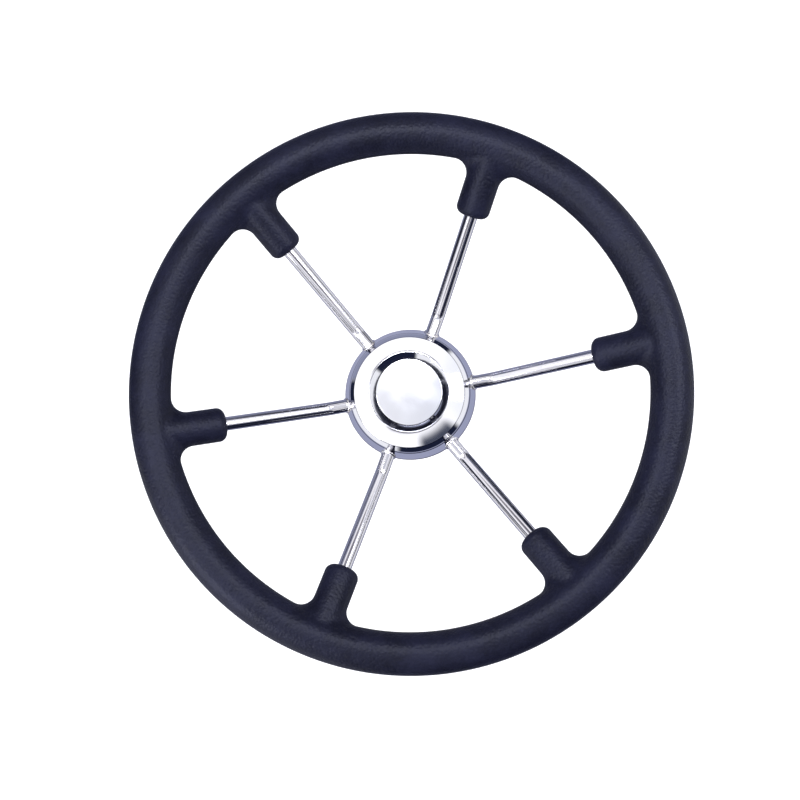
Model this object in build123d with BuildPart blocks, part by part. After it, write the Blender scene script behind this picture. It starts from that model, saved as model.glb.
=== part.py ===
"""Six-spoke boat steering wheel: foam-gripped rim, dished rod spokes, welded drum hub with a snap-in cap.

Frame, in millimetres: the shaft axis is Y, and +Y points back towards the helm. X is to the helmsman's
right and Z is up. The origin is the centre of the hub boss's rear face, at the mouth of its bore.
Sections of turned and pressed pieces are drawn on Plane.XY, where x is the radius and y is the depth.
"""

import os
from math import cos, radians, sin, tan

from build123d import *

os.makedirs("parts", exist_ok=True)

# Rim
rim_outside_diameter = 350.0
grip_radius = 12.8
rim_radius = rim_outside_diameter / 2 - grip_radius
rim_y = -92.0
core_rod_radius = 5.5
core_joint_gap = 1.6
joint_angle = 270.0
grip_joint_half_gap = 0.01  # degrees, either side of the joint's angle
core_weld_radius = 6.1

# Spokes
spoke_count = 6
spoke_radius = 4.5
dish_angle = 25.0
bend_at_radius = 56.0
bend_radius = 15.0
spoke_root_radius = 41.0
spoke_root_y = rim_y + (rim_radius - bend_at_radius) * tan(radians(dish_angle))

# Moulded sleeves that run from the rim onto the spokes
sleeve_radius = 11.3
sleeve_end_radius = 121.0
sleeve_length = (rim_radius - sleeve_end_radius) / cos(radians(dish_angle))
sleeve_end_rounding = 4.5
sleeve_blend = 8.0
radius_tolerance = 0.01

# Weld beads
rim_weld_start = 3.0
rim_weld_end = 9.0
rim_weld_radius = 7.0
hub_weld_inner = 42.5
hub_weld_outer = 46.6
hub_weld_radius = 6.1

# Hub drum, a pressed cup that is open towards the helmsman
drum_radius = 44.7
drum_wall = 2.6
drum_back_y = -28.0
drum_plate = 3.0
drum_corner = 4.5
drum_side_end_y = -41.0
drum_lip_radius = 40.3
drum_lip_y = -51.0

# Hub boss on the tapered shaft
boss_radius = 19.0
boss_front_y = -32.0
boss_chamfer = 1.0
boss_weld_leg = 4.0
taper_large_radius = 9.525
taper_per_length = 1 / 24  # loss of radius along the bore: 1 in 12 on the diameter
relief_radius = 10.5
relief_depth = 3.5
keyway_width = 4.76
keyway_top = 11.3
boss_bore_front_radius = taper_large_radius + (boss_front_y + relief_depth) * taper_per_length

# Shaft nut and washers
washer_thickness = 2.0
washer_radius = 15.5
washer_hole_radius = 8.3
washer_chamfer = 0.3
lock_washer_thickness = 3.0
lock_washer_radius = 12.7
lock_washer_hole_radius = 8.2
lock_washer_slit = 1.6
nut_height = 9.5
nut_across_flats = 23.8
nut_bore_radius = 7.3
nut_sides = 6
nut_face_radius = 13.2
nut_chamfer_width = 2.4
nut_chamfer_depth = 1.2

# Centre cap, which snaps into the drum's mouth
cap_gap = 0.3
cap_sheet = 1.2
cap_base_radius = 40.3
cap_shoulder_radius = 36.7
cap_shoulder_height = 7.2
cap_crest_radius = 26.3
cap_crest_height = 11.5
cap_crest_rounding = 1.2
cap_side_bulge = 0.9
cap_bulge_height = 4.3
cap_disc_radius = 22.3
cap_floor_height = 6.7
disc_thickness = 1.2
disc_chamfer = 0.4
disc_clearance = 0.1
skirt_radius = 37.2
skirt_wall = 2.4
skirt_depth = 7.0
ring_section_radius = 0.8
ring_groove_width = 1.9
ring_groove_depth = 1.5
ring_centre_radius = 36.55

sector_angle = 360.0 / spoke_count
spoke_angles = [sector_angle * i for i in range(spoke_count)]
slope = radians(dish_angle)


def radial_plane(angle):
    """Plane through the shaft axis: local x points out along a spoke, and local y is the row's +Y."""
    a = radians(angle)
    return Plane(origin=(0, 0, 0), x_dir=(cos(a), 0, sin(a)), z_dir=(-sin(a), 0, cos(a)))


def plane_on_spoke(angle, distance):
    """Plane square to a spoke's sloping run, facing the rim, at a distance in from the rim's middle."""
    flat = radial_plane(angle)
    centre = (rim_radius - distance * cos(slope), rim_y + distance * sin(slope))
    outward = flat.x_dir * cos(slope) - flat.y_dir * sin(slope)
    return Plane(origin=flat.from_local_coords(centre), x_dir=flat.z_dir, z_dir=outward)


def plane_at_root(angle, radius):
    """Plane square to a spoke's level run, facing outwards, at a radius from the shaft axis."""
    flat = radial_plane(angle)
    return Plane(origin=flat.from_local_coords((radius, spoke_root_y)), x_dir=flat.z_dir, z_dir=flat.x_dir)


def near(sketch, x, y):
    """The corner of a sketch nearest to a point."""
    return sketch.vertices().sort_by_distance((x, y))[0]


def save(builder, name):
    """Labels a finished piece and writes its STEP file."""
    builder.part.label = name
    export_step(builder.part, f"parts/{name}.step")


# Blanks: whole shapes that neighbouring pieces are cut against

with BuildPart() as core_blank:
    with BuildSketch(radial_plane(sector_angle / 2)):
        with Locations((rim_radius, rim_y)):
            Circle(core_rod_radius)
    revolve(axis=Axis.Y)

with BuildPart() as drum_blank:
    with BuildSketch(Plane.XY) as drum_outline:
        with BuildLine():
            Polyline(
                (0, drum_back_y),
                (drum_radius, drum_back_y),
                (drum_radius, drum_side_end_y),
                (drum_lip_radius, drum_lip_y),
                (0, drum_lip_y),
                close=True,
            )
        make_face()
        fillet(near(drum_outline, drum_radius, drum_back_y), radius=drum_corner)
        fillet(near(drum_outline, drum_radius, drum_side_end_y), radius=drum_corner / 2)
    revolve(axis=Axis.Y)

# Spokes: level where they enter the hub, then one bend and a straight slope forward to the rim

spokes = []
for angle in spoke_angles:
    with BuildPart() as spoke:
        with BuildLine(radial_plane(angle)) as spoke_axis:
            FilletPolyline(
                (spoke_root_radius, spoke_root_y),
                (bend_at_radius, spoke_root_y),
                (rim_radius, rim_y),
                radius=bend_radius,
            )
        with BuildSketch(plane_at_root(angle, spoke_root_radius)):
            Circle(spoke_radius)
        sweep(path=spoke_axis.wire())
        add(core_blank.part, mode=Mode.SUBTRACT)
    spokes.append(spoke)
    save(spoke, f"spoke_{len(spokes)}")

# Core ring: one rod rolled round, with a butt weld halfway between two spokes

joint_plane = radial_plane(joint_angle)
joint_origin = joint_plane.from_local_coords((rim_radius, rim_y))

with BuildPart() as rim_core_ring:
    add(core_blank.part)
    with BuildSketch(Plane(origin=joint_origin, z_dir=joint_plane.z_dir)):
        Circle(core_weld_radius)
    extrude(amount=core_joint_gap / 2, both=True, mode=Mode.SUBTRACT)
save(rim_core_ring, "rim_core_ring")

with BuildPart() as core_ring_weld:
    with BuildSketch(Plane(origin=joint_origin, z_dir=joint_plane.z_dir)):
        Circle(core_weld_radius)
    extrude(amount=core_joint_gap, both=True)
    add(rim_core_ring.part, mode=Mode.SUBTRACT)
save(core_ring_weld, "core_ring_weld")

# Weld beads where each spoke meets the core ring and the drum

rim_welds = []
hub_welds = []
for i, angle in enumerate(spoke_angles):
    with BuildPart() as rim_weld:
        with BuildSketch(plane_on_spoke(angle, rim_weld_start)):
            Circle(rim_weld_radius)
        with BuildSketch(plane_on_spoke(angle, rim_weld_end)):
            Circle(spoke_radius)
        loft()
        add(core_blank.part, mode=Mode.SUBTRACT)
        add(spokes[i].part, mode=Mode.SUBTRACT)
    rim_welds.append(rim_weld)
    save(rim_weld, f"rim_weld_{i + 1}")

    with BuildPart() as hub_weld:
        with BuildSketch(plane_at_root(angle, hub_weld_inner)):
            Circle(hub_weld_radius)
        with BuildSketch(plane_at_root(angle, hub_weld_outer)):
            Circle(spoke_radius)
        loft()
        add(drum_blank.part, mode=Mode.SUBTRACT)
        add(spokes[i].part, mode=Mode.SUBTRACT)
    hub_welds.append(hub_weld)
    save(hub_weld, f"hub_weld_{i + 1}")

# Grip: foam moulded over the core ring and the outer ends of the spokes, in one piece.
# The ring stops a hair short of meeting itself, over the core ring's butt weld.

with BuildPart() as rim_grip:
    with BuildSketch(radial_plane(joint_angle + grip_joint_half_gap)):
        with Locations((rim_radius, rim_y)):
            Circle(grip_radius)
    revolve(axis=Axis.Y, revolution_arc=2 * grip_joint_half_gap - 360)
    for angle in spoke_angles:
        with BuildSketch(plane_on_spoke(angle, sleeve_length)):
            Circle(sleeve_radius)
        extrude(amount=sleeve_length, clean=False)
    fillet(rim_grip.edges().filter_by(GeomType.BSPLINE), radius=sleeve_blend)
    circles = rim_grip.edges().filter_by(GeomType.CIRCLE)
    sleeve_ends = circles.filter_by(lambda edge: abs(edge.radius - sleeve_radius) < radius_tolerance)
    fillet(sleeve_ends, radius=sleeve_end_rounding)
    add(core_blank.part, mode=Mode.SUBTRACT, clean=False)
    for piece in spokes + rim_welds + [core_ring_weld]:
        add(piece.part, mode=Mode.SUBTRACT, clean=False)
save(rim_grip, "rim_grip")

# Hub drum: back plate, side wall and a coned lip, pierced for the boss and the six spokes

with BuildPart() as hub_drum:
    with BuildSketch(Plane.XY) as drum_section:
        with BuildLine():
            Polyline(
                (boss_radius, drum_back_y),
                (drum_radius, drum_back_y),
                (drum_radius, drum_side_end_y),
                (drum_lip_radius, drum_lip_y),
                (drum_lip_radius - drum_wall, drum_lip_y),
                (drum_radius - drum_wall, drum_side_end_y),
                (drum_radius - drum_wall, drum_back_y - drum_plate),
                (boss_radius, drum_back_y - drum_plate),
                close=True,
            )
        make_face()
        fillet(near(drum_section, drum_radius, drum_back_y), radius=drum_corner)
        fillet(near(drum_section, drum_radius, drum_side_end_y), radius=drum_corner / 2)
        inner_corner = near(drum_section, drum_radius - drum_wall, drum_back_y - drum_plate)
        fillet(inner_corner, radius=drum_corner - drum_wall)
    revolve(axis=Axis.Y)
    for angle in spoke_angles:
        with BuildSketch(plane_at_root(angle, boss_radius)):
            Circle(spoke_radius)
        extrude(amount=drum_radius, mode=Mode.SUBTRACT)
save(hub_drum, "hub_drum")

# Hub boss: taper bore with a straight relief at its mouth and a keyway along the top

with BuildPart() as hub_boss:
    with BuildSketch(Plane.XY) as boss_section:
        with BuildLine():
            Polyline(
                (relief_radius, 0),
                (boss_radius, 0),
                (boss_radius, boss_front_y),
                (boss_bore_front_radius, boss_front_y),
                (taper_large_radius, -relief_depth),
                (relief_radius, -relief_depth),
                close=True,
            )
        make_face()
        chamfer(near(boss_section, boss_radius, 0), length=boss_chamfer)
        chamfer(near(boss_section, boss_radius, boss_front_y), length=boss_chamfer / 2)
    revolve(axis=Axis.Y)
    with BuildSketch(Plane.XZ) as keyway:
        Rectangle(keyway_width, keyway_top, align=(Align.CENTER, Align.MIN))
    extrude(amount=-boss_front_y, mode=Mode.SUBTRACT)
save(hub_boss, "hub_boss")

with BuildPart() as boss_weld:
    with BuildSketch(Plane.XY) as bead_section:
        with BuildLine():
            Polyline(
                (boss_radius, drum_back_y),
                (boss_radius + boss_weld_leg, drum_back_y),
                (boss_radius, drum_back_y + boss_weld_leg),
                close=True,
            )
        make_face()
    revolve(axis=Axis.Y)
save(boss_weld, "boss_weld")

# Shaft nut, lock washer and flat washer, stacked on the boss's front face

lock_washer_y = boss_front_y - washer_thickness
nut_y = lock_washer_y - lock_washer_thickness
nut_front_y = nut_y - nut_height

with BuildPart() as shaft_washer:
    with BuildSketch(Plane.XZ.offset(-boss_front_y)):
        Circle(washer_radius)
        Circle(washer_hole_radius, mode=Mode.SUBTRACT)
    extrude(amount=washer_thickness)
    chamfer(shaft_washer.edges().group_by(SortBy.LENGTH)[-1], length=washer_chamfer)
save(shaft_washer, "shaft_washer")

with BuildPart() as lock_washer:
    with BuildSketch(Plane.XZ.offset(-lock_washer_y)):
        Circle(lock_washer_radius)
        Circle(lock_washer_hole_radius, mode=Mode.SUBTRACT)
        with Locations((0, lock_washer_radius)):
            Rectangle(lock_washer_slit, lock_washer_radius, mode=Mode.SUBTRACT)
    extrude(amount=lock_washer_thickness)
save(lock_washer, "lock_washer")

with BuildPart() as nut_envelope:
    with BuildSketch(Plane.XY) as nut_section:
        with BuildLine():
            Polyline(
                (nut_bore_radius, nut_y),
                (nut_face_radius, nut_y),
                (nut_face_radius + nut_chamfer_width, nut_y - nut_chamfer_depth),
                (nut_face_radius + nut_chamfer_width, nut_front_y + nut_chamfer_depth),
                (nut_face_radius, nut_front_y),
                (nut_bore_radius, nut_front_y),
                close=True,
            )
        make_face()
    revolve(axis=Axis.Y)

with BuildPart() as shaft_nut:
    with BuildSketch(Plane.XZ.offset(-nut_y)):
        RegularPolygon(nut_across_flats / 2, nut_sides, major_radius=False)
    extrude(amount=nut_height)
    add(nut_envelope.part, mode=Mode.INTERSECT)
save(shaft_nut, "shaft_nut")

# Centre cap: rounded side, gently rising ring, crest, and a bevel down to the disc's recess

cap_base_y = drum_lip_y - cap_gap
shoulder_y = cap_base_y - cap_shoulder_height
crest_y = cap_base_y - cap_crest_height
floor_y = cap_base_y - cap_floor_height
side_middle = (cap_base_radius - cap_side_bulge, cap_base_y - cap_bulge_height)
skirt_end_y = cap_base_y + skirt_depth

with BuildPart() as centre_cap:
    with BuildSketch(Plane.XY) as cap_section:
        with BuildLine():
            ThreePointArc((cap_base_radius, cap_base_y), side_middle, (cap_shoulder_radius, shoulder_y))
            Polyline(
                (cap_shoulder_radius, shoulder_y),
                (cap_crest_radius, crest_y),
                (cap_disc_radius, floor_y - disc_thickness),
                (cap_disc_radius, floor_y),
                (0, floor_y),
                (0, floor_y + cap_sheet),
                (cap_disc_radius + cap_sheet / 2, floor_y + cap_sheet),
                (cap_crest_radius, crest_y + 2 * cap_sheet),
                (cap_shoulder_radius - cap_sheet, shoulder_y + cap_sheet),
                (skirt_radius - skirt_wall, cap_base_y),
                (skirt_radius - skirt_wall, skirt_end_y),
                (skirt_radius, skirt_end_y),
                (skirt_radius, cap_base_y),
                (cap_base_radius, cap_base_y),
            )
        make_face()
        fillet(near(cap_section, cap_crest_radius, crest_y), radius=cap_crest_rounding)
        fillet(near(cap_section, cap_shoulder_radius, shoulder_y), radius=cap_crest_rounding)
    revolve(axis=Axis.Y)
    with BuildSketch(Plane.XY):
        with Locations((skirt_radius, (cap_base_y + skirt_end_y) / 2)):
            Rectangle(2 * ring_groove_depth, ring_groove_width)
    revolve(axis=Axis.Y, mode=Mode.SUBTRACT)
save(centre_cap, "centre_cap")

with BuildPart() as cap_o_ring:
    with BuildSketch(Plane.XY):
        with Locations((ring_centre_radius, (cap_base_y + skirt_end_y) / 2)):
            Circle(ring_section_radius)
    revolve(axis=Axis.Y)
save(cap_o_ring, "cap_o_ring")

with BuildPart() as cap_disc:
    with BuildSketch(Plane.XZ.offset(-floor_y)):
        Circle(cap_disc_radius - disc_clearance)
    extrude(amount=disc_thickness)
    chamfer(cap_disc.faces().sort_by(Axis.Y)[0].edges(), length=disc_chamfer)
save(cap_disc, "cap_disc")
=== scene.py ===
"""Looks of the six-spoke boat steering wheel: moulded foam grip, polished rod spokes, drum hub and cap.

Lengths are in metres, in the frame's axes: Y is the shaft axis with +Y towards the helm, X is to the
helmsman's right and Z is up. The wheel's front faces -Y.
"""

from math import atan2, cos, pi, radians, sin, tan

import bpy
import numpy as np
from bpy.props import FloatProperty, FloatVectorProperty, PointerProperty
from bpy.types import Operator, Panel, PropertyGroup
from mathutils import Matrix, Vector


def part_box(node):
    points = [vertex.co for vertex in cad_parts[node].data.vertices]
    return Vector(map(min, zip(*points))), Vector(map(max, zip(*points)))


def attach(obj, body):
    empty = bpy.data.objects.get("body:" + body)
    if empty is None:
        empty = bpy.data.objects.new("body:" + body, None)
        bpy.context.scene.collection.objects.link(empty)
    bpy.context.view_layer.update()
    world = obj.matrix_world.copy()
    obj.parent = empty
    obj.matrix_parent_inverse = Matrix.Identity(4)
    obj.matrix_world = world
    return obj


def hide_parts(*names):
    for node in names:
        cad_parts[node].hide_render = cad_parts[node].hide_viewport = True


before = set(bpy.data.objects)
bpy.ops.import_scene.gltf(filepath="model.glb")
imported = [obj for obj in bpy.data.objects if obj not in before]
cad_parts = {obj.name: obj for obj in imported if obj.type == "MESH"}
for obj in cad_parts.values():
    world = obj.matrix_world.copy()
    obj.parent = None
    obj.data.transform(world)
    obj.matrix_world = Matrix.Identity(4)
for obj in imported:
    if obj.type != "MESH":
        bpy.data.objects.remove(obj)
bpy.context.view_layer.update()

bl_info = {
    "name": "Boat Steering Wheel",
    "version": (1, 0, 0),
    "blender": (4, 5, 0),
    "location": "View3D > Sidebar > Wheel",
    "description": "Dresses the steering wheel's frame with its grip, polished metal and studio",
    "category": "Mesh",
}

MM = 0.001
SPOKES = 6

# Sizes that the frame gives
core_low, core_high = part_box("rim_core_ring")
grip_low, grip_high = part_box("rim_grip")
spoke_low, spoke_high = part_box("spoke_1")
drum_low, drum_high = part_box("hub_drum")
cap_low, cap_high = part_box("centre_cap")
disc_low, disc_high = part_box("cap_disc")

RIM_Y = (core_low.y + core_high.y) / 2
RIM_RADIUS = core_high.z - (core_high.y - core_low.y) / 2
GRIP_RADIUS = grip_high.z - RIM_RADIUS
SPOKE_RADIUS = (spoke_high.z - spoke_low.z) / 2
SPOKE_ROOT_RADIUS = spoke_low.x
SPOKE_ROOT_Y = spoke_high.y - SPOKE_RADIUS
DRUM_RADIUS = drum_high.x
DRUM_BACK_Y = drum_high.y
DRUM_LIP_Y = drum_low.y
CAP_CREST_Y = cap_low.y
CAP_SKIRT_Y = cap_high.y
DISC_RADIUS = disc_high.x
CORE_RADIUS = core_high.z - RIM_RADIUS

# Fixed sizes of the visible pieces
HOLE_GAP = 0.05 * MM  # between a spoke and the hole in its sleeve
HOLE_LIP = 0.5 * MM  # rounding of that hole's edge
HOLE_DEPTH = 4 * MM  # how far the hole is carried into the sleeve
DRUM_SIDE_END_Y = DRUM_LIP_Y + 10 * MM  # where the drum's straight side turns in to its lip
DRUM_WALL = 2.6 * MM
DRUM_PLATE = 3.0 * MM
CAP_GAP = 0.3 * MM  # between the drum's lip and the cap's side
CAP_SIDE_HEIGHT = 7.2 * MM
CAP_SHEET = 1.2 * MM
SKIRT_RADIUS = 37.2 * MM
SKIRT_WALL = 2.4 * MM
RING_BULGE = 0.12 * MM  # how far the cap's ring stands above a straight cone at its middle
DISC_GAP = 0.1 * MM  # between the cap's recess and the step round the disc
DISC_MARGIN = 0.25 * MM  # how much smaller the disc is than its seat
DISC_EDGE = 0.3 * MM  # rounding of the disc's edge
DISC_DOME = 0.28 * MM  # rise of the disc's front to its middle
BEAD_RADIUS = 0.8 * MM
BEAD_RIPPLES = 15
BEAD_SWELL = 0.07  # share by which a ripple changes the bead's radius

# Colour of the painted shade lines in creases, at edges and in gaps
CREASE_SHADE_COLOUR = (0.06, 0.065, 0.09)

# The studio's floor, which curves up into its back wall
FLOOR_FRONT, FLOOR_BACK, FLOOR_HALF_WIDTH = -3.0, 1.4, 3.0
WALL_TOP, WALL_BEND = 2.6, 0.5

# Soft boxes: name, place, size across and power in watts
LAMPS = (
    ("lamp_over_camera", (0.0, -0.62, 0.18), 0.14, 1.95),
    ("lamp_right", (0.42, -0.62, 0.02), 0.28, 2.9),
    ("lamp_left", (-0.30, -0.62, 0.0), 0.12, 1.25),
    ("lamp_low_left", (-0.60, -0.45, -0.35), 0.30, 3.3),
)
LAMP_COLOUR = (0.90, 0.92, 1.0)

# The room that polished metal mirrors. The view leans towards this turn by this many degrees
VIEW_TURN, VIEW_LEAN = 295.5, 5.1

# Light of the room's parts
FRONT_WHITE = (1.42, 1.42, 1.45)
FRONT_SHADE = (1.12, 1.14, 1.22)
SIDE_WHITE = (1.05, 1.06, 1.10)
BACK_WHITE = (1.0, 1.0, 1.0)
DISC_LIGHT = (1.00, 1.01, 1.06)
DISC_SHADE = (0.84, 0.87, 0.97)
ROD_GREY = (0.22, 0.21, 0.25)
OUTLINE_GREY = (0.25, 0.26, 0.34)
BACK_GREY = (0.38, 0.40, 0.56)
EDGE_GREY = (0.07, 0.07, 0.11)
GAP_GREY = (0.07, 0.08, 0.12)
GAP_DARK = (0.012, 0.016, 0.040)
GAP_MIDDLE = (0.30, 0.32, 0.45)

# Where a part of the room fades in, as the range of its angle in degrees. The rods' zone also fades out
DISC_END = (20, 32)
ROD_START, ROD_END = (33, 37), (43.5, 41.5)
FRONT_GAP_START = (42, 48.5)
OUTLINE_START = (53, 56)
SIDE_START = (57, 60)
BACK_START = (121, 127)
EDGE_START = (146, 152)
BEHIND_START = (150, 162)

# Where a light darkens to its shade, as a range of the direction's X
DISC_FADE = (-0.12, 0.16)
WHITE_FADE = (0.40, 0.72)

# Zones and gaps, from turn to turn, with the width of their soft edges
ROD_ABOVE, ROD_BELOW, ROD_SOFT = (42, 138), (222, 318), 16
FRONT_GAP, FRONT_GAP_SOFT = (270, 316), 14
BEHIND_ABOVE, BEHIND_BELOW, BEHIND_SOFT = (50, 155), (190, 320), 30
SIDE_GAP_SOFT = 8
SIDE_GAPS = (
    (66, 153, GAP_MIDDLE),
    (152, 178, GAP_DARK),
    (40, 67, GAP_DARK),
    (245, 318, GAP_DARK),
)


# ---------------------------------------------------------------- settings


class GripSettings(PropertyGroup):
    """Sizes and colour of the moulded grip."""

    sleeve_radius: FloatProperty(
        name="Sleeve Radius", description="Radius of the sleeve over each spoke",
        default=11.05 * MM, unit="LENGTH")
    sleeve_end: FloatProperty(
        name="Sleeve End", description="Distance from the shaft axis to each sleeve's end",
        default=121.0 * MM, unit="LENGTH")
    end_rounding: FloatProperty(
        name="End Rounding", description="Rounding of the sleeve's end", default=5.0 * MM, unit="LENGTH")
    blend_radius: FloatProperty(
        name="Blend Radius", description="Radius of the hollow where a sleeve runs into the rim",
        default=9.0 * MM, unit="LENGTH")
    grain_size: FloatProperty(
        name="Grain Size", description="Width of one pebble of the skin's grain",
        default=1.5 * MM, unit="LENGTH")
    colour: FloatVectorProperty(
        name="Colour", description="Colour of the foam's skin", subtype="COLOR", size=3,
        min=0, max=1, default=(0.0050, 0.0054, 0.0130))
    roughness: FloatProperty(
        name="Roughness", description="Roughness of the foam's skin", default=0.42, min=0, max=1,
        subtype="FACTOR")


class MetalSettings(PropertyGroup):
    """Sizes and finish of the polished metal."""

    bend_at: FloatProperty(
        name="Bend At", description="Distance from the shaft axis to the corner of a spoke's bend",
        default=56 * MM, unit="LENGTH")
    bend_radius: FloatProperty(
        name="Bend Radius", description="Radius of a spoke's bend", default=15 * MM, unit="LENGTH")
    lip_radius: FloatProperty(
        name="Lip Radius", description="Outer radius of the drum's lip", default=40.3 * MM, unit="LENGTH")
    shoulder_radius: FloatProperty(
        name="Shoulder Radius", description="Radius where the cap's side turns into its ring",
        default=36.7 * MM, unit="LENGTH")
    crest_radius: FloatProperty(
        name="Crest Radius", description="Radius of the cap's highest line",
        default=26.3 * MM, unit="LENGTH")
    colour: FloatVectorProperty(
        name="Colour", description="Colour of the polished steel", subtype="COLOR", size=3,
        min=0, max=1, default=(0.80, 0.80, 0.835))
    roughness: FloatProperty(
        name="Roughness", description="Roughness of the polished steel", default=0.07, min=0, max=1,
        subtype="FACTOR")


class StudioSettings(PropertyGroup):
    """The camera's place and the studio's light."""

    distance: FloatProperty(
        name="Distance", description="Camera's distance in front of the rim's plane",
        default=0.5162, unit="LENGTH")
    lens: FloatProperty(
        name="Lens", description="Focal length on a 36 mm sensor, in millimetres", default=37.4,
        unit="CAMERA")
    lean: FloatProperty(
        name="Lean", description="Angle between the line of sight and the shaft axis",
        default=radians(5.12), subtype="ANGLE")
    lean_towards: FloatProperty(
        name="Lean Towards", description="Direction across the view in which the wheel's front leans",
        default=radians(125.8), subtype="ANGLE")
    roll: FloatProperty(
        name="Roll", description="Turn of the wheel in the view", default=radians(10.31), subtype="ANGLE")
    side_step: FloatVectorProperty(
        name="Side Step", description="How far right of and above the line of sight the rim's centre is",
        size=2, default=(4.25 * MM, 7.65 * MM), unit="LENGTH")
    floor_drop: FloatProperty(
        name="Floor Drop", description="Depth of the floor under the shaft axis", default=0.9,
        unit="LENGTH")


# ---------------------------------------------------------------- meshes


def radial_point(angle, radius, y):
    """Points at an angle about the shaft axis: x = r cos a, z = r sin a."""
    return np.stack([radius * np.cos(angle), y + 0 * radius * angle, radius * np.sin(angle)], axis=-1)


def turned(points, angle):
    """Points turned about the shaft axis by an angle, counter-clockwise as the helmsman sees it."""
    c, s = cos(angle), sin(angle)
    x, y, z = points[..., 0], points[..., 1], points[..., 2]
    return np.stack([c * x - s * z, y, s * x + c * z], axis=-1)


def grid_faces(rows, columns, wrap_rows=False, wrap_columns=True):
    """Quads between neighbouring points of a grid that is stored row after row."""
    r = np.arange(rows if wrap_rows else rows - 1)
    c = np.arange(columns if wrap_columns else columns - 1)
    r, c = np.meshgrid(r, c, indexing="ij")
    r_next, c_next = (r + 1) % rows, (c + 1) % columns
    corners = [r * columns + c, r * columns + c_next, r_next * columns + c_next, r_next * columns + c]
    return np.stack(corners, axis=-1).reshape(-1, 4)


def welded(points, faces, tolerance=1e-7):
    """Merges points that share a place, and drops the corners and faces that fold to nothing."""
    keys = np.round(points / tolerance).astype(np.int64)
    _, first, group = np.unique(keys, axis=0, return_index=True, return_inverse=True)
    faces = group.reshape(-1)[faces]
    kept = []
    for face in faces.tolist():
        ring = [a for a, b in zip(face, face[1:] + face[:1]) if a != b]
        if len(ring) > 2:
            kept.append(ring)
    return points[first], kept


def make_piece(name, points, faces, material, body, nodes):
    """Makes a smooth mesh object from points and faces.

    It rides on its body, takes its finish from its slot and stands for its CAD nodes."""
    mesh = bpy.data.meshes.new(name)
    mesh.from_pydata(points.tolist(), [], faces)
    mesh.polygons.foreach_set("use_smooth", np.ones(len(mesh.polygons), dtype=bool))
    mesh.materials.append(material)
    mesh.validate()
    mesh.update()
    piece = bpy.data.objects.new(name, mesh)
    bpy.context.scene.collection.objects.link(piece)
    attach(piece, body)
    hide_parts(*nodes)
    return piece


def rounded_outline(corners, steps=10):
    """Closed outline in (radius, depth), where each corner with a rounding becomes an arc.

    The arc's centre is on the line that halves the corner, at the rounding radius over the sine of the
    corner's half angle. A point of the arc is its start and its end, mixed by the sines of the turn still
    to go and of the turn already made."""
    places = np.array([corner[:2] for corner in corners], dtype=float)
    outline = []
    for i, corner in enumerate(corners):
        rounding = corner[2] if len(corner) > 2 else 0.0
        here = places[i]
        if rounding <= 0:
            outline.append(here[None])
            continue
        before, after = places[i - 1] - here, places[(i + 1) % len(corners)] - here
        before, after = before / np.linalg.norm(before), after / np.linalg.norm(after)
        half = np.arccos(np.clip(np.dot(before, after), -1, 1)) / 2
        middle = (before + after) / np.linalg.norm(before + after)
        centre = here + middle * rounding / np.sin(half)
        start = here + before * rounding / np.tan(half) - centre
        end = here + after * rounding / np.tan(half) - centre
        turn = np.pi - 2 * half
        t = np.linspace(0, 1, steps + 1)[:, None]
        arc = (start * np.sin((1 - t) * turn) + end * np.sin(t * turn)) / np.sin(turn)
        outline.append(centre + arc)
    return np.concatenate(outline)


def lathe(outline, segments=288):
    """Surface of revolution about the shaft axis: an outline point (r, y) becomes a ring of radius r at y."""
    angle = np.linspace(0, 2 * pi, segments, endpoint=False)
    grid = radial_point(angle, outline[:, :1], outline[:, 1:])
    return welded(grid.reshape(-1, 3), grid_faces(len(outline), segments, wrap_rows=True))


# ---------------------------------------------------------------- shader maths


class Value:
    """One output of a node. Python's operators on it add Math nodes to its shader."""

    def __init__(self, shader, output):
        self.shader = shader
        self.output = output

    def __add__(self, other):
        return self.shader.maths("ADD", self, other)

    __radd__ = __add__

    def __mul__(self, other):
        return self.shader.maths("MULTIPLY", self, other)

    __rmul__ = __mul__

    def __sub__(self, other):
        return self.shader.maths("SUBTRACT", self, other)

    def __rsub__(self, other):
        return self.shader.maths("SUBTRACT", other, self)

    def __pow__(self, other):
        return self.shader.maths("POWER", self, other)

    def ramp(self, low, high, to_low=0.0, to_high=1.0):
        """This value carried smoothly from the range low..high to the range to_low..to_high."""
        sockets = {"Value": self, "From Min": low, "From Max": high, "To Min": to_low, "To Max": to_high}
        return self.shader.node("ShaderNodeMapRange", {"interpolation_type": "SMOOTHSTEP"}, sockets)


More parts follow.
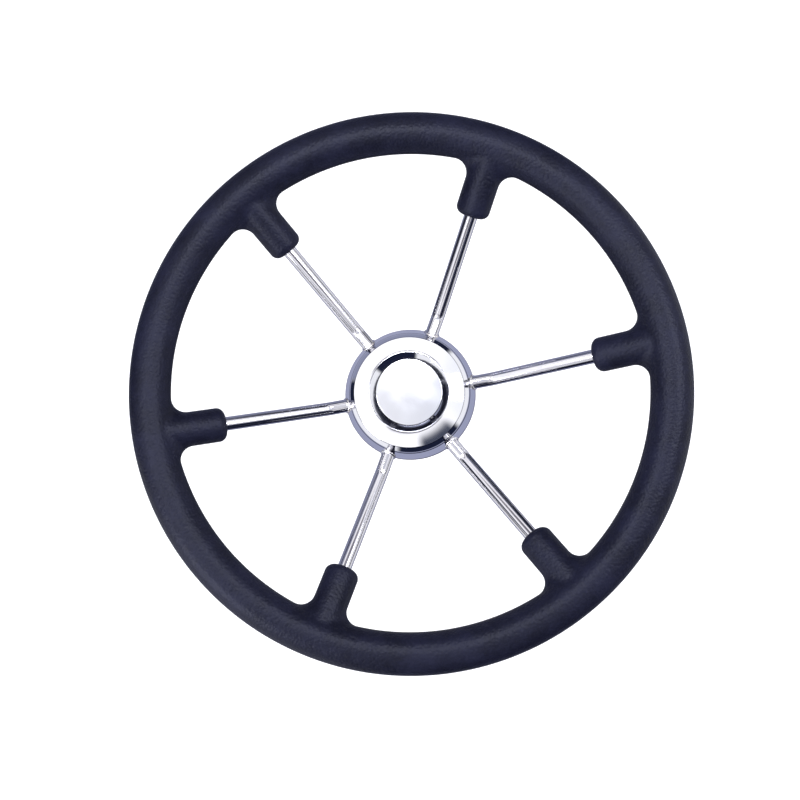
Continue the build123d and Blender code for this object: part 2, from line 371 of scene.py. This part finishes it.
class Shader:
    """Adds nodes to one node tree."""

    def __init__(self, tree):
        self.tree = tree
        tree.nodes.clear()

    def node(self, kind, settings=None, sockets=None, output=0):
        """Adds a node, sets its settings, then gives its sockets their values or links."""
        made = self.tree.nodes.new(kind)
        for name, value in (settings or {}).items():
            setattr(made, name, value)
        for name, value in (sockets or {}).items():
            if isinstance(value, Value):
                self.tree.links.new(value.output, made.inputs[name])
            else:
                made.inputs[name].default_value = value
        return Value(self, made.outputs[output]) if made.outputs else None

    def maths(self, operation, *values):
        """A Math node on one or more values."""
        return self.node("ShaderNodeMath", {"operation": operation}, dict(enumerate(values)))

    def axis(self, vector, index):
        """The X, Y or Z part of a vector, by its index."""
        return self.node("ShaderNodeSeparateXYZ", {}, {"Vector": vector}, output=index)

    def place(self):
        """Object coordinates of the surface, in metres."""
        return self.node("ShaderNodeTexCoord", output="Object")

    def noise(self, place, size, detail=2.0, roughness=0.5):
        """Cloudy noise about 0.5, with features of the given size in metres."""
        sockets = {"Vector": place, "Scale": 1 / size, "Detail": detail, "Roughness": roughness}
        return self.node("ShaderNodeTexNoise", {}, sockets)

    def cells(self, place, size):
        """Smooth distance from the middle of a random cell, with cells of the given size in metres."""
        sockets = {"Vector": place, "Scale": 1 / size}
        return self.node("ShaderNodeTexVoronoi", {"feature": "SMOOTH_F1"}, sockets)

    def bump(self, height, strength, distance):
        """A normal bent by a height, in units of the given distance."""
        sockets = {"Height": height, "Strength": strength, "Distance": distance}
        return self.node("ShaderNodeBump", {}, sockets)

    def tint(self, mask, low, high):
        """A colour between two colours, by a mask. Sockets 6 and 7 and output 2 of a Mix node are colours."""
        low, high = (c if isinstance(c, Value) else (*c, 1) for c in (low, high))
        sockets = {0: mask, 6: low, 7: high}
        return self.node("ShaderNodeMix", {"data_type": "RGBA"}, sockets, output=2)

    def surface(self, **sockets):
        """The one Principled surface, and the output that it goes to."""
        named = {name.replace("_", " "): value for name, value in sockets.items()}
        surface = self.node("ShaderNodeBsdfPrincipled", {}, named)
        self.node("ShaderNodeOutputMaterial", {}, {"Surface": surface})


def new_material(name):
    """An empty material and the shader that fills it."""
    material = bpy.data.materials.new(name)
    material.use_nodes = True
    return material, Shader(material.node_tree)


def dull(colour, factor):
    """A colour made darker or lighter by a factor."""
    return tuple(channel * factor for channel in colour)


def foam_skin(settings):
    """Dark skin of moulded foam: pebble grain, dull sheen, and faint clouds in its colour and gloss.

    The grain's height is 1 less the distance from a pebble's middle to a power, plus fine noise."""
    material, shader = new_material("grip_foam_skin")
    place = shader.place()
    pebbles = shader.cells(place, settings.grain_size)
    fine = shader.noise(place, settings.grain_size * 0.45, detail=3)
    clouds = shader.noise(place, 22 * MM, detail=3)
    streaks = shader.noise(place, 5 * MM, detail=4)
    grain = 1 - pebbles ** 1.5 + fine * 0.35
    gloss = settings.roughness
    colour = tuple(settings.colour)
    mottling = clouds * 0.4 + streaks * 0.2 + fine * 0.4
    shader.surface(
        Base_Color=shader.tint(mottling.ramp(0.35, 0.65), dull(colour, 0.6), dull(colour, 1.5)),
        Roughness=mottling.ramp(0.25, 0.75, gloss - 0.05, gloss + 0.06) + (fine - 0.5) * 0.1,
        Normal=shader.bump(grain, 0.9, 0.30 * MM),
        Specular_IOR_Level=0.15,
        Specular_Tint=(0.84, 0.86, 1.0, 1),
    )
    return material


def polished_steel(settings, name, roughness, scratches=0.25, shade=(1.0, 1.0, 1.0), painted_crease_shade=()):
    """Mirror-polished steel: faint hairline scratches, slightly uneven gloss, and painted shade lines along
    creases and gaps.

    A painted shade line is a circle about the shaft axis: its radius, its half width and how dark the painted
    shade is.
    Its line is darkest where the distance from the axis equals that radius, and fades over the width."""
    material, shader = new_material(name)
    place = shader.place()
    stretched = shader.node("ShaderNodeMapping", {}, {"Vector": place, "Scale": (1.0, 0.06, 1.0)})
    hairlines = shader.noise(stretched, 0.25 * MM, detail=4, roughness=0.7)
    clouds = shader.noise(place, 14 * MM, detail=3)
    lines = hairlines.ramp(0.52, 0.72)
    colour = tuple(channel * part for channel, part in zip(settings.colour, shade))
    surface = shader.tint(clouds, dull(colour, 0.97), dull(colour, 1.02))
    x, z = shader.axis(place, 0), shader.axis(place, 2)
    radius = (x * x + z * z) ** 0.5
    # Painted shade: a dark line is painted round the shaft axis at each listed radius, standing for shade in
    # a crease or gap
    for middle, half_width, shade_strength in painted_crease_shade:
        offset = shader.maths("ABSOLUTE", radius - middle)
        line = offset.ramp(half_width, half_width * 0.4) * shade_strength
        surface = shader.tint(line, surface, CREASE_SHADE_COLOUR)
    shader.surface(
        Base_Color=surface,
        Metallic=1.0,
        Roughness=clouds.ramp(0.3, 0.7, roughness * 0.75, roughness * 1.2) + lines * 0.04,
        Normal=shader.bump(hairlines, scratches, 0.002 * MM),
    )
    return material


def turned_steel(settings, name, roughness, groove=0.18 * MM):
    """Plain machined steel: fine lathe rings about the shaft axis and a dull sheen.

    A wave texture's phase, in radians, is 20 times the scaled distance. One ring is 2 pi grooves wide."""
    material, shader = new_material(name)
    place = shader.place()
    rings = shader.node(
        "ShaderNodeTexWave",
        {"wave_type": "RINGS", "rings_direction": "Y"},
        {"Vector": place, "Scale": 1 / (20 * groove), "Distortion": 0.4, "Detail": 2.0},
    )
    clouds = shader.noise(place, 6 * MM, detail=4)
    colour = dull(tuple(settings.colour), 0.8)
    shader.surface(
        Base_Color=shader.tint(clouds, dull(colour, 0.9), dull(colour, 1.05)),
        Metallic=1.0,
        Roughness=clouds.ramp(0.3, 0.7, roughness * 0.85, roughness * 1.2),
        Normal=shader.bump(rings, 0.35, 0.006 * MM),
    )
    return material


def weld_metal(settings):
    """Bright weld metal with a fine grain and a slight heat tint."""
    material, shader = new_material("weld_metal")
    place = shader.place()
    grain = shader.noise(place, 0.7 * MM, detail=5)
    heat = shader.noise(place, 4 * MM, detail=2)
    colour = tuple(settings.colour)
    shader.surface(
        Base_Color=shader.tint(heat.ramp(0.4, 0.7), dull(colour, 0.95), (0.66, 0.60, 0.56)),
        Metallic=1.0,
        Roughness=grain.ramp(0.3, 0.7, 0.16, 0.3),
        Normal=shader.bump(grain, 0.5, 0.05 * MM),
    )
    return material


def seal_rubber():
    """Matt black rubber with a faint bloom."""
    material, shader = new_material("seal_rubber")
    bloom = shader.noise(shader.place(), 1.5 * MM, detail=4)
    shader.surface(
        Base_Color=shader.tint(bloom, (0.012, 0.012, 0.013), (0.03, 0.03, 0.032)),
        Roughness=bloom.ramp(0.3, 0.7, 0.6, 0.8),
        Normal=shader.bump(bloom, 0.4, 0.02 * MM),
    )
    return material


def dress(node, material):
    """Gives a CAD node its material."""
    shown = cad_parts[node]
    shown.data.materials.clear()
    shown.data.materials.append(material)


# ---------------------------------------------------------------- shapes


def spoke_slope(metal):
    """Angle of a spoke's outer run. Its tangent is the depth from rim to root over the run from the bend."""
    return atan2(SPOKE_ROOT_Y - RIM_Y, RIM_RADIUS - metal.bend_at)


def grip_sector(settings, slope, around=240):
    """One sixth of the grip, as one grid about its spoke.

    The first parameter is the turn about the spoke. The second runs from the spoke's hole over the
    sleeve's end, along the sleeve, over the blend and across the rim. The blend is a ball of the blend
    radius rolled where it touches both sleeve and rim: its centre is a sleeve radius plus a blend radius
    from the spoke, and a grip radius plus a blend radius from the rim's centre line. The rim's part is
    the torus, where its two angles go in a straight line from the blend's edge to the sector's border.
    """
    sleeve, blend, rounding = settings.sleeve_radius, settings.blend_radius, settings.end_rounding
    inwards = np.array([-cos(slope), sin(slope), 0.0])
    across = np.array([sin(slope), cos(slope), 0.0])
    length = (RIM_RADIUS - settings.sleeve_end) / -inwards[0]
    phi = np.arange(around) * (2 * pi / around)
    side = np.cos(phi)[:, None] * np.array([0.0, 0.0, 1.0]) + np.sin(phi)[:, None] * across
    rim_centre = np.array([RIM_RADIUS, RIM_Y, 0.0])

    def ball(distance):
        return rim_centre + distance[:, None] * inwards + (sleeve + blend) * side

    low, high = np.zeros(around), np.full(around, 2 * (GRIP_RADIUS + blend))
    for _ in range(50):
        middle = (low + high) / 2
        centre = ball(middle)
        off_rim = np.hypot(np.hypot(centre[:, 0], centre[:, 2]) - RIM_RADIUS, centre[:, 1] - RIM_Y)
        near = off_rim < GRIP_RADIUS + blend
        low, high = np.where(near, middle, low), np.where(near, high, middle)
    reach = (low + high) / 2
    centre = ball(reach)
    rim_angle = np.arctan2(centre[:, 2], centre[:, 0])
    on_line = radial_point(rim_angle, np.full(around, RIM_RADIUS), RIM_Y)
    to_rim = on_line - centre
    to_rim /= np.linalg.norm(to_rim, axis=1)[:, None]

    hole = SPOKE_RADIUS + HOLE_GAP
    hole_end = rim_centre + (length - HOLE_DEPTH) * inwards
    rows = [
        np.repeat(hole_end[None], around, axis=0),
        hole_end + hole * side,
        rim_centre + (length - HOLE_LIP) * inwards + hole * side,
    ]
    for t in np.linspace(0, 1, 4)[1:]:
        turn = t * pi / 2
        radius = hole + HOLE_LIP * (1 - cos(turn))
        rows.append(rim_centre + (length - HOLE_LIP + HOLE_LIP * sin(turn)) * inwards + radius * side)
    for t in np.linspace(0, 1, 13):
        turn = t * pi / 2
        radius = sleeve - rounding + rounding * sin(turn)
        rows.append(rim_centre + (length - rounding + rounding * cos(turn)) * inwards + radius * side)
    for t in np.linspace(0, 1, 6)[1:]:
        distance = (length - rounding) + (reach - (length - rounding)) * t
        rows.append(rim_centre + distance[:, None] * inwards + sleeve * side)
    between = np.arccos(np.clip(np.sum(-side * to_rim, axis=1), -1, 1))[:, None]
    for t in np.linspace(0, 1, 13)[1:]:
        arc = -side * np.sin((1 - t) * between) + to_rim * np.sin(t * between)
        rows.append(centre + blend * arc / np.sin(between))

    out = -to_rim
    along = np.stack([np.cos(rim_angle), 0 * rim_angle, np.sin(rim_angle)], axis=-1)
    start_v = np.arctan2(
        np.sum(out * along, axis=1) * across[0] + out[:, 1] * across[1],
        np.sum(out * along, axis=1) * inwards[0] + out[:, 1] * inwards[1],
    )
    border_u, border_v = sector_border(around)
    for t in np.linspace(0, 1, 31)[1:]:
        u = rim_angle + (border_u - rim_angle) * t
        v = start_v + (border_v - start_v) * t
        radius = RIM_RADIUS + GRIP_RADIUS * (np.cos(v) * inwards[0] + np.sin(v) * across[0])
        y = RIM_Y + GRIP_RADIUS * (np.cos(v) * inwards[1] + np.sin(v) * across[1])
        rows.append(np.stack([radius * np.cos(u), y, radius * np.sin(u)], axis=-1))
    return np.array(rows)


def sector_border(around, share=0.4):
    """Border of a sector of the rim, as its two angles, walked round in step with the turn about the spoke.

    Each quarter goes up the sector's end over a share of its steps, then back along its far side."""
    quarter = around // 4
    ends = int(quarter * share)
    sector = pi / SPOKES
    step = np.arange(quarter)
    rising = step < ends
    u = np.where(rising, sector, sector * (1 - (step - ends) / (quarter - ends)))
    v = np.where(rising, pi * step / ends, pi)
    second_u = np.append(0.0, -u[:0:-1])
    second_v = np.append(pi, v[:0:-1])
    upper_u, upper_v = np.append(u, second_u), np.append(v, second_v)
    return np.append(upper_u, -upper_u), np.append(upper_v, -upper_v)


def build_grip(settings, slope, material):
    """The whole grip: six sectors, each turned to its spoke, welded into one closed skin."""
    sector = grip_sector(settings, slope)
    rows, columns = sector.shape[:2]
    faces = grid_faces(rows, columns)
    points = np.concatenate([turned(sector, k * 2 * pi / SPOKES).reshape(-1, 3) for k in range(SPOKES)])
    faces = np.concatenate([faces + k * rows * columns for k in range(SPOKES)])
    points, faces = welded(points, faces[:, ::-1], tolerance=2e-6)
    return make_piece("grip_moulding", points, faces, material, "wheel", ["rim_grip"])


def spoke_path(settings, steps=24):
    """A spoke's centre line in (radius, depth): level out of the hub, one arc, then straight to the rim."""
    slope = spoke_slope(settings)
    tangent = settings.bend_radius * tan(slope / 2)
    end = CORE_RADIUS * 0.9
    start_bend = np.array([settings.bend_at - tangent, SPOKE_ROOT_Y])
    turn = np.linspace(0, slope, steps)
    centre = start_bend + np.array([0, -settings.bend_radius])
    arc = centre + settings.bend_radius * np.stack([np.sin(turn), np.cos(turn)], axis=-1)
    level = np.linspace([SPOKE_ROOT_RADIUS, SPOKE_ROOT_Y], start_bend, 6)[:-1]
    last = np.array([RIM_RADIUS - end * cos(slope), RIM_Y + end * sin(slope)])
    sloping = np.linspace(arc[-1], last, 30)[1:]
    return np.concatenate([level, arc, sloping])


def build_spoke(settings, material, index, around=72):
    """A round rod carried along the spoke's path: at each point, a circle square to the path's direction.

    A flat cap closes each end."""
    path = spoke_path(settings)
    ahead = np.gradient(path, axis=0)
    ahead /= np.linalg.norm(ahead, axis=1)[:, None]
    normal = np.stack([-ahead[:, 1], ahead[:, 0]], axis=-1)
    phi = np.arange(around) * (2 * pi / around)
    radius = path[:, 0, None] + SPOKE_RADIUS * np.cos(phi) * normal[:, 0, None]
    y = path[:, 1, None] + SPOKE_RADIUS * np.cos(phi) * normal[:, 1, None]
    z = SPOKE_RADIUS * np.sin(phi) + 0 * y
    rod = np.stack([radius, y, z], axis=-1)
    ends = [np.repeat(np.append(path[i], 0.0)[None], around, axis=0) for i in (0, -1)]
    grid = np.concatenate([ends[0][None], rod, ends[1][None]])
    grid = turned(grid, index * 2 * pi / SPOKES)
    points, faces = welded(grid.reshape(-1, 3), grid_faces(len(grid), around))
    name = f"spoke_rod_{index + 1}"
    return make_piece(name, points, faces, material, "wheel", [f"spoke_{index + 1}"])


def drum_outline(settings):
    """The drum's section, in (radius, depth, rounding), from the boss round its outside to the inside."""
    boss_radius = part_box("hub_boss")[1].x
    inside = DRUM_RADIUS - DRUM_WALL
    lip = settings.lip_radius
    return rounded_outline([
        (boss_radius, DRUM_BACK_Y),
        (DRUM_RADIUS, DRUM_BACK_Y, 4.5 * MM),
        (DRUM_RADIUS, DRUM_SIDE_END_Y, 12.0 * MM),
        (lip, DRUM_LIP_Y, 0.25 * MM),
        (lip - DRUM_WALL, DRUM_LIP_Y, 0.4 * MM),
        (inside, DRUM_SIDE_END_Y, 3.0 * MM),
        (inside, DRUM_BACK_Y - DRUM_PLATE, 1.9 * MM),
        (boss_radius, DRUM_BACK_Y - DRUM_PLATE),
    ])


def cap_outline(settings):
    """The cap's section, in (radius, depth, rounding): side, ring, crest, recess, then back inside."""
    base_y = DRUM_LIP_Y - CAP_GAP
    shoulder_y = base_y - CAP_SIDE_HEIGHT
    floor_y = disc_high.y
    sheet, recess, skirt_inside = CAP_SHEET, DISC_RADIUS + DISC_GAP, SKIRT_RADIUS - SKIRT_WALL
    lip, shoulder, crest = settings.lip_radius, settings.shoulder_radius, settings.crest_radius
    return rounded_outline([
        (lip, base_y, 0.1 * MM),
        (lip, base_y - 1.87 * MM, 5.8 * MM),
        (shoulder, shoulder_y, 1.0 * MM),
        ((shoulder + crest) / 2, (shoulder_y + CAP_CREST_Y) / 2 - RING_BULGE, 200 * MM),
        (crest, CAP_CREST_Y, 0.8 * MM),
        (recess, disc_low.y, 0.1 * MM),
        (recess, floor_y),
        (0, floor_y),
        (0, floor_y + sheet),
        (DISC_RADIUS + sheet, floor_y + sheet, 0.5 * MM),
        (crest, CAP_CREST_Y + 2 * sheet, 0.5 * MM),
        (shoulder - sheet, shoulder_y + sheet, 1.0 * MM),
        (skirt_inside, base_y, 0.8 * MM),
        (skirt_inside, CAP_SKIRT_Y, 0.5 * MM),
        (SKIRT_RADIUS, CAP_SKIRT_Y, 0.5 * MM),
        (SKIRT_RADIUS, base_y, 0.2 * MM),
    ])


def disc_outline():
    """The cap's inset disc: a flat back, a rounded edge and a domed front.

    The front rises by the dome times 1 less the square of the radius's share of the whole."""
    outer = DISC_RADIUS - DISC_MARGIN
    inner = outer - DISC_EDGE
    radius = np.linspace(inner, 0, 24)
    rise = DISC_DOME * (1 - (radius / outer) ** 2)
    front = np.stack([radius, disc_low.y - rise], axis=-1)
    turn = np.linspace(0, pi / 2, 8)[:-1]
    edge_y = disc_low.y + DISC_EDGE * (1 - np.sin(turn))
    rim = np.stack([inner + DISC_EDGE * np.cos(turn), edge_y], axis=-1)
    back = np.array([[0.0, disc_high.y], [outer, disc_high.y]])
    return np.concatenate([back, rim, front])


def drum_surface_radius(settings, y):
    """Radius of the drum's outside at a depth: straight over its side, then narrowing evenly to the lip."""
    share = np.clip((DRUM_SIDE_END_Y - y) / (DRUM_SIDE_END_Y - DRUM_LIP_Y), 0, 1)
    return DRUM_RADIUS + (settings.lip_radius - DRUM_RADIUS) * share


def build_hub_weld(settings, material, index, around=120, section=20):
    """A rippled bead round a spoke's root.

    Its middle follows the line where the spoke's surface goes into the drum's: out from the shaft axis by
    the root of the drum's radius squared less the sideways distance squared. Round that line goes a circle
    whose radius swells and shrinks once for each ripple."""
    phi = (np.arange(around) * (2 * pi / around))[:, None]
    psi = np.arange(section) * (2 * pi / section)
    ring = SPOKE_RADIUS + 0.25 * BEAD_RADIUS
    y = SPOKE_ROOT_Y + ring * np.cos(phi)
    z = ring * np.sin(phi)
    x = np.sqrt(drum_surface_radius(settings, y) ** 2 - z**2)
    size = BEAD_RADIUS * (1 + BEAD_SWELL * np.cos(BEAD_RIPPLES * phi + 0.9 * np.sin(psi)))
    out = size * np.cos(psi)
    up = size * np.sin(psi)
    grid = np.stack([x + up, y + out * np.cos(phi), z + out * np.sin(phi)], axis=-1)
    grid = turned(grid, index * 2 * pi / SPOKES)
    faces = grid_faces(around, section, wrap_rows=True)
    name = f"weld_bead_{index + 1}"
    return make_piece(
        name, grid.reshape(-1, 3), faces[:, ::-1].tolist(), material, "wheel",
        [f"hub_weld_{index + 1}"])


# ---------------------------------------------------------------- operators


class WHEEL_OT_grip(Operator):
    """Moulds the foam grip with its six sleeves"""

    bl_idname = "wheel.grip"
    bl_label = "Make Grip"

    def execute(self, context):
        settings = context.scene.wheel_grip
        build_grip(settings, spoke_slope(context.scene.wheel_metal), foam_skin(settings))
        return {"FINISHED"}


class WHEEL_OT_spokes(Operator):
    """Bends and polishes the six spokes"""

    bl_idname = "wheel.spokes"
    bl_label = "Make Spokes"

    def execute(self, context):
        settings = context.scene.wheel_metal
        material = polished_steel(
            settings, "spoke_steel", settings.roughness * 1.4, shade=(0.78, 0.77, 0.78))
        for index in range(SPOKES):
            build_spoke(settings, material, index)
        return {"FINISHED"}


class WHEEL_OT_hub(Operator):
    """Presses the hub drum and turns its boss"""

    bl_idname = "wheel.hub"
    bl_label = "Make Hub"

    def execute(self, context):
        settings = context.scene.wheel_metal
        # Painted shade: dark lines painted at the drum's lip and round its outer side
        painted_crease_shade = [
            (settings.lip_radius, 0.5 * MM, 0.85),
            (DRUM_RADIUS, 0.4 * MM, 0.6),
        ]
        material = polished_steel(settings, "drum_steel", settings.roughness, painted_crease_shade=painted_crease_shade)
        points, faces = lathe(drum_outline(settings))
        make_piece("drum_shell", points, faces, material, "wheel", ["hub_drum"])
        dress("hub_boss", turned_steel(settings, "boss_steel", 0.3))
        return {"FINISHED"}


class WHEEL_OT_welds(Operator):
    """Lays the weld beads round the spokes' roots and the boss"""

    bl_idname = "wheel.welds"
    bl_label = "Make Welds"

    def execute(self, context):
        settings = context.scene.wheel_metal
        material = weld_metal(settings)
        for index in range(SPOKES):
            build_hub_weld(settings, material, index)
            dress(f"rim_weld_{index + 1}", material)
        dress("boss_weld", material)
        dress("core_ring_weld", material)
        dress("rim_core_ring", turned_steel(settings, "rod_steel", 0.35))
        return {"FINISHED"}


class WHEEL_OT_cap(Operator):
    """Presses the centre cap and sets its disc"""

    bl_idname = "wheel.cap"
    bl_label = "Make Cap"

    def execute(self, context):
        settings = context.scene.wheel_metal
        # Painted shade: dark lines painted at the cap's crest, at its shoulder and at the gap by the drum's
        # lip
        painted_crease_shade = [
            (settings.crest_radius - 0.1 * MM, 0.34 * MM, 0.75),
            (settings.shoulder_radius + 0.1 * MM, 0.3 * MM, 0.45),
            (settings.lip_radius, 0.42 * MM, 0.85),
        ]
        steel = polished_steel(settings, "cap_steel", settings.roughness, painted_crease_shade=painted_crease_shade)
        points, faces = lathe(cap_outline(settings))
        make_piece("cap_pressing", points, faces, steel, "cap", ["centre_cap"])
        # Painted shade: a dark line painted round the disc's edge
        satin = polished_steel(
            settings, "disc_steel", settings.roughness * 1.7, scratches=0.1,
            painted_crease_shade=[(DISC_RADIUS - 0.2 * MM, 0.35 * MM, 0.7)])
        points, faces = lathe(disc_outline())
        make_piece("cap_disc_face", points, faces, satin, "cap", ["cap_disc"])
        dress("cap_o_ring", seal_rubber())
        return {"FINISHED"}


class WHEEL_OT_fasteners(Operator):
    """Finishes the shaft nut and its washers"""

    bl_idname = "wheel.fasteners"
    bl_label = "Finish Fasteners"

    def execute(self, context):
        settings = context.scene.wheel_metal
        material = turned_steel(settings, "fastener_steel", 0.28)
        for node in ("shaft_nut", "shaft_washer", "lock_washer"):
            dress(node, material)
        return {"FINISHED"}


class WHEEL_OT_stage(Operator):
    """Sets up the floor, the room's light, the soft boxes and the camera"""

    bl_idname = "wheel.stage"
    bl_label = "Set Stage"

    def execute(self, context):
        settings = context.scene.wheel_studio
        make_floor(settings)
        make_world(context.scene)
        make_lights()
        context.scene.camera = make_camera(settings)
        context.scene.view_settings.view_transform = "Standard"
        return {"FINISHED"}


# ---------------------------------------------------------------- studio


def make_floor(settings):
    """A pale floor that curves up into a back wall: level, a quarter circle, then upright."""
    turn = np.linspace(0, pi / 2, 16)
    floor_z = -settings.floor_drop
    bend_y = FLOOR_BACK + WALL_BEND * (np.sin(turn) - 1)
    bend_z = floor_z + WALL_BEND * (1 - np.cos(turn))
    y = np.concatenate([[FLOOR_FRONT], bend_y, [FLOOR_BACK]])
    z = np.concatenate([[floor_z], bend_z, [WALL_TOP]])
    x, y = np.meshgrid(np.linspace(-FLOOR_HALF_WIDTH, FLOOR_HALF_WIDTH, 7), y)
    grid = np.stack([x, y, z[:, None] + 0 * x], axis=-1)
    faces = grid_faces(*x.shape, wrap_columns=False)
    mesh = bpy.data.meshes.new("studio_floor")
    mesh.from_pydata(grid.reshape(-1, 3).tolist(), [], faces.tolist())
    mesh.polygons.foreach_set("use_smooth", np.ones(len(mesh.polygons), dtype=bool))
    material, shader = new_material("studio_paper")
    shader.surface(Base_Color=(0.93, 0.93, 0.93, 1), Roughness=0.9, Emission_Color=(1, 1, 1, 1),
                   Emission_Strength=0.35, Specular_IOR_Level=0.1)
    mesh.materials.append(material)
    floor = bpy.data.objects.new("studio_floor", mesh)
    bpy.context.scene.collection.objects.link(floor)
    floor.visible_glossy = False


def make_world(scene):
    """The room's light, as polished metal mirrors it. The camera itself sees plain white.

    A direction has a turn about the shaft axis, counted from +X, and an angle away from the front: 0 is
    straight ahead of the wheel and 180 is behind it. The mirror angle is the angle away plus a part that
    the view's lean gives it. Straight ahead is the light meant for the disc. Round that it is white, with
    a grey zone above and below, meant for the rods, and a grey gap low on the right. Next come a narrow
    outline, then white screens with gaps between them, and last the grey back of the room. Right behind
    the wheel it turns near black, lighter above and darker below."""
    world = bpy.data.worlds.new("studio_world")
    scene.world = world
    world.use_nodes = True
    shader = Shader(world.node_tree)
    direction = shader.node("ShaderNodeTexCoord", output="Generated")
    x, y, z = (shader.axis(direction, i) for i in range(3))
    turn = shader.maths("ARCTAN2", z, x) * (180 / pi)
    away = shader.maths("ARCCOSINE", y * -1) * (180 / pi)
    mirror = away + shader.maths("COSINE", (turn - VIEW_TURN) * (pi / 180)) * VIEW_LEAN

    def around(low, high, soft):
        """1 between two turns, falling smoothly to 0 over the soft edge."""
        middle, half = (low + high) / 2, (high - low) / 2
        offset = shader.maths("WRAP", turn - middle, -180.0, 180.0)
        return shader.maths("ABSOLUTE", offset).ramp(half + soft / 2, half - soft / 2)

    disc = shader.tint(x.ramp(*DISC_FADE), DISC_LIGHT, DISC_SHADE)
    white = shader.tint(x.ramp(*WHITE_FADE), FRONT_WHITE, FRONT_SHADE)
    front = shader.tint(away.ramp(*DISC_END), disc, white)
    above_below = around(*ROD_ABOVE, ROD_SOFT) + around(*ROD_BELOW, ROD_SOFT)
    rod_zone = mirror.ramp(*ROD_START) * mirror.ramp(*ROD_END) * above_below
    front = shader.tint(rod_zone, front, ROD_GREY)
    front = shader.tint(around(*FRONT_GAP, FRONT_GAP_SOFT) * mirror.ramp(*FRONT_GAP_START), front, GAP_GREY)
    side = SIDE_WHITE
    for low, high, colour in SIDE_GAPS:
        side = shader.tint(around(low, high, SIDE_GAP_SOFT), side, colour)
    room = shader.tint(mirror.ramp(*OUTLINE_START), front, OUTLINE_GREY)
    room = shader.tint(mirror.ramp(*SIDE_START), room, side)
    room = shader.tint(away.ramp(*BACK_START), room, BACK_GREY)
    room = shader.tint(away.ramp(*EDGE_START), room, EDGE_GREY)
    behind = away.ramp(*BEHIND_START)
    room = shader.tint(behind * around(*BEHIND_ABOVE, BEHIND_SOFT) * 0.5, room, BACK_WHITE)
    room = shader.tint(behind * around(*BEHIND_BELOW, BEHIND_SOFT) * 0.7, room, GAP_DARK)
    seen = shader.node("ShaderNodeLightPath", output="Is Camera Ray")
    room = shader.tint(seen, room, (1.0, 1.0, 1.0))
    background = shader.node("ShaderNodeBackground", {}, {"Color": room})
    shader.node("ShaderNodeOutputWorld", {}, {"Surface": background})


def make_lights():
    """Soft boxes in front of the wheel, each aimed at the rim's centre."""
    for name, place, size, power in LAMPS:
        data = bpy.data.lights.new(name, "AREA")
        data.size = size
        data.energy = power
        data.color = LAMP_COLOUR
        lamp = bpy.data.objects.new(name, data)
        bpy.context.scene.collection.objects.link(lamp)
        aim = Vector((0, RIM_Y, 0)) - Vector(place)
        lamp.matrix_world = Matrix.Translation(place) @ aim.to_track_quat("-Z", "Y").to_matrix().to_4x4()


def make_camera(settings):
    """The camera, in front of the rim's plane.

    It looks along the shaft axis, then leans about a line across the view and rolls about the axis. The
    rim's centre lies a side step away from the line of sight."""
    lean_axis = Vector((-sin(settings.lean_towards), cos(settings.lean_towards), 0))
    lean = Matrix.Rotation(settings.lean, 3, lean_axis)
    roll = Matrix.Rotation(-settings.roll, 3, "Z")
    to_frame = Matrix(((1, 0, 0), (0, 0, -1), (0, 1, 0)))
    turn = to_frame @ roll @ lean.transposed()
    step = settings.side_step
    place = turn @ Vector((-step[0], -step[1], settings.distance)) + Vector((0, RIM_Y, 0))
    data = bpy.data.cameras.new("camera")
    data.sensor_width = 36.0
    data.lens = settings.lens
    camera = bpy.data.objects.new("camera", data)
    bpy.context.scene.collection.objects.link(camera)
    camera.matrix_world = Matrix.Translation(place) @ turn.to_4x4()
    return camera


# ---------------------------------------------------------------- panel and registering


class WHEEL_PT_panel(Panel):
    """The wheel's settings and the steps that make it"""

    bl_label = "Steering Wheel"
    bl_idname = "WHEEL_PT_panel"
    bl_space_type = "VIEW_3D"
    bl_region_type = "UI"
    bl_category = "Wheel"

    def draw(self, context):
        scene = context.scene
        for group in (scene.wheel_grip, scene.wheel_metal, scene.wheel_studio):
            box = self.layout.box()
            for name in group.__annotations__:
                box.prop(group, name)
        for step in STEPS:
            self.layout.operator(step.bl_idname)


STEPS = (
    WHEEL_OT_grip,
    WHEEL_OT_spokes,
    WHEEL_OT_hub,
    WHEEL_OT_welds,
    WHEEL_OT_cap,
    WHEEL_OT_fasteners,
    WHEEL_OT_stage,
)
CLASSES = (GripSettings, MetalSettings, StudioSettings, *STEPS, WHEEL_PT_panel)


def register():
    for item in CLASSES:
        bpy.utils.register_class(item)
    bpy.types.Scene.wheel_grip = PointerProperty(type=GripSettings)
    bpy.types.Scene.wheel_metal = PointerProperty(type=MetalSettings)
    bpy.types.Scene.wheel_studio = PointerProperty(type=StudioSettings)


def unregister():
    del bpy.types.Scene.wheel_grip
    del bpy.types.Scene.wheel_metal
    del bpy.types.Scene.wheel_studio
    for item in reversed(CLASSES):
        bpy.utils.unregister_class(item)


def main():
    register()
    for step in STEPS:
        group, name = step.bl_idname.split(".")
        getattr(getattr(bpy.ops, group), name)()


if __name__ == "__main__":
    main()
